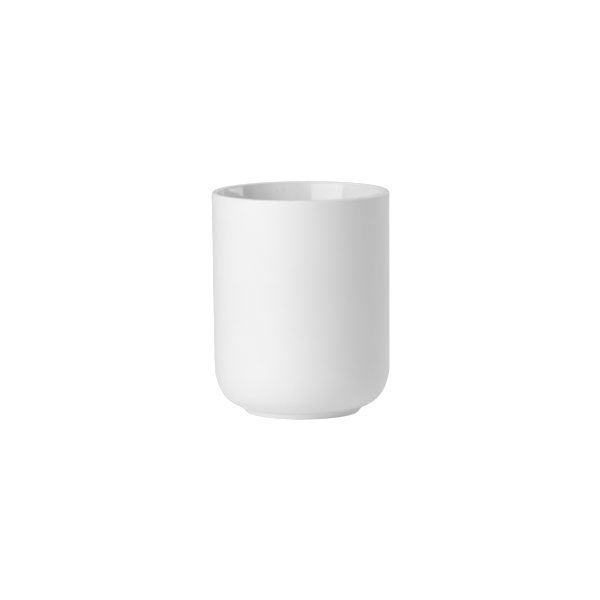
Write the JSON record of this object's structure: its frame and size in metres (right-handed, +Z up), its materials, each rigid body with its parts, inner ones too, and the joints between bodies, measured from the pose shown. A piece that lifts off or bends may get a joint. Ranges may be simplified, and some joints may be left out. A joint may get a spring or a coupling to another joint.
{
  "type": "pen holder cup",
  "caption": "Round, straight-walled stoneware cup with a rounded bottom on a low foot ring, matt white outside and gloss glazed inside, for holding pens upright.",
  "frame": {"origin": "centre of the resting face of the foot ring, on the cup's axis", "axes": "+Z up along the cup's axis; the cup is a body of revolution, so +X and +Y are alike"},
  "size_m": [0.083, 0.083, 0.104],
  "materials": {
    "bare_stoneware": "matte",
    "matt_white_coat": "matte",
    "gloss_white_glaze": "gloss",
    "base_white_glaze": "satin"
  },
  "bodies": {
    "root": {"stoneware_body": "bare_stoneware", "matt_coat": "matt_white_coat", "inner_glaze": "gloss_white_glaze", "base_glaze": "base_white_glaze"}
  },
  "joints": []
}
